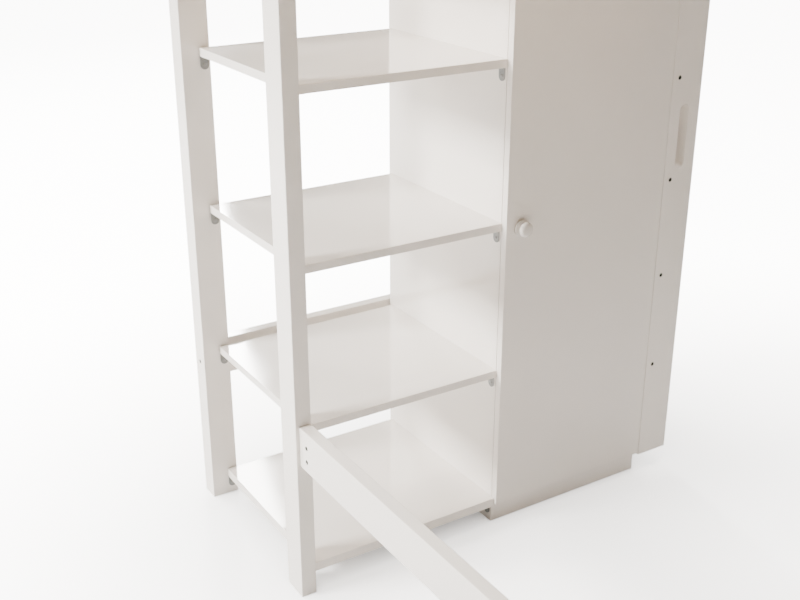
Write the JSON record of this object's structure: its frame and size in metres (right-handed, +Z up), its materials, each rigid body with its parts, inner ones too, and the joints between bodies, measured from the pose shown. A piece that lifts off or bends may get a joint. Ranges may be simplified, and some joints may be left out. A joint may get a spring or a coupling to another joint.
{
  "type": "cabin bed",
  "caption": "High bunk bed frame with slats and guards, open shelves, a hinged-door wardrobe and a fixed vertical ladder below its far end.",
  "frame": {"origin": "on the floor, in the middle of the whole bed's length and width, ladder included", "axes": "+X to the right across the bed, towards the ladder; +Y along the bed, towards the wardrobe and shelves; +Z up"},
  "size_m": [1.074, 2.108, 1.85],
  "materials": {
    "white_lacquer": "smooth warm white satin lacquer on wood board",
    "knob_lacquer": "turned wood, white satin lacquer",
    "back_board": "thin board, white one-sided lacquer",
    "slat_pine": "planed softwood, untreated",
    "dowel_beech": "fluted beech",
    "zinc_steel": "zinc plated",
    "bracket_grey": "satin grey pressed steel",
    "hinge_nickel": "nickel plated pressed steel",
    "rail_chrome": "bright chrome tube",
    "white_plastic": "moulded, matte",
    "clear_buffer": "soft clear dot"
  },
  "bodies": {
    "bed_frame": {"barrel_nuts": "zinc_steel", "bottom_shelf": "white_lacquer", "far_bunk_rail": "white_lacquer", "far_left_post": "white_lacquer", "far_low_rail": "white_lacquer", "far_lower_guard": "white_lacquer", "far_right_post": "white_lacquer", "far_upper_guard": "white_lacquer", "frame_bolts": "zinc_steel", "furniture_screws": "zinc_steel", "hanging_rail": "rail_chrome", "hanging_rail_sockets": "white_plastic", "hinge_arms": "hinge_nickel", "inner_shelf_pins": "zinc_steel", "ladder_front_board": "white_lacquer", "ladder_rear_board": "white_lacquer", "ladder_tread_1": "white_lacquer", "ladder_tread_2": "white_lacquer", "ladder_tread_3": "white_lacquer", "ladder_tread_4": "white_lacquer", "ladder_tread_5": "white_lacquer", "left_bunk_rail": "white_lacquer", "left_low_rail": "white_lacquer", "left_lower_guard": "white_lacquer", "left_slat_ledge": "slat_pine", "left_upper_guard": "white_lacquer", "lower_shelf": "white_lacquer", "middle_shelf": "white_lacquer", "near_bunk_rail": "white_lacquer", "near_left_post": "white_lacquer", "near_low_rail": "white_lacquer", "near_lower_guard": "white_lacquer", "near_right_post": "white_lacquer", "near_upper_guard": "white_lacquer", "right_bunk_rail": "white_lacquer", "right_lower_guard": "white_lacquer", "right_slat_ledge": "slat_pine", "right_upper_guard": "white_lacquer", "shelf_brackets": "bracket_grey", "shelf_post": "white_lacquer", "slats": "slat_pine", "upper_shelf": "white_lacquer", "wardrobe_back": "back_board", "wardrobe_base": "white_lacquer", "wardrobe_inner_shelf": "white_lacquer", "wardrobe_left_side": "white_lacquer", "wardrobe_plinth": "white_lacquer", "wardrobe_right_side": "white_lacquer", "wardrobe_top": "white_lacquer", "wood_dowels": "dowel_beech", "wood_screws": "zinc_steel"},
    "door": {"door": "white_lacquer", "door_knob": "knob_lacquer", "knob_screw": "zinc_steel", "door_buffers": "clear_buffer", "hinge_cups": "hinge_nickel", "hinge_pins": "hinge_nickel", "hinge_cup_screws": "zinc_steel"},
    "hinge_links": {"hinge_links": "hinge_nickel"}
  },
  "joints": [
    {"name": "door_swing", "type": "hinge", "parent": "bed_frame", "child": "door", "pos_m": [0.4425, 0.531, 0.723], "axis": [0, 0, 1], "range_deg": [0, 95]},
    {"name": "link_turn", "type": "hinge", "parent": "door", "child": "hinge_links", "pos_m": [0.4225, 0.543, 0.723], "axis": [0, 0, 1], "range_deg": [-95, 0]}
  ],
  "couplings": [
    {"joint": "link_turn", "follows": "door_swing", "ratio": -1}
  ]
}
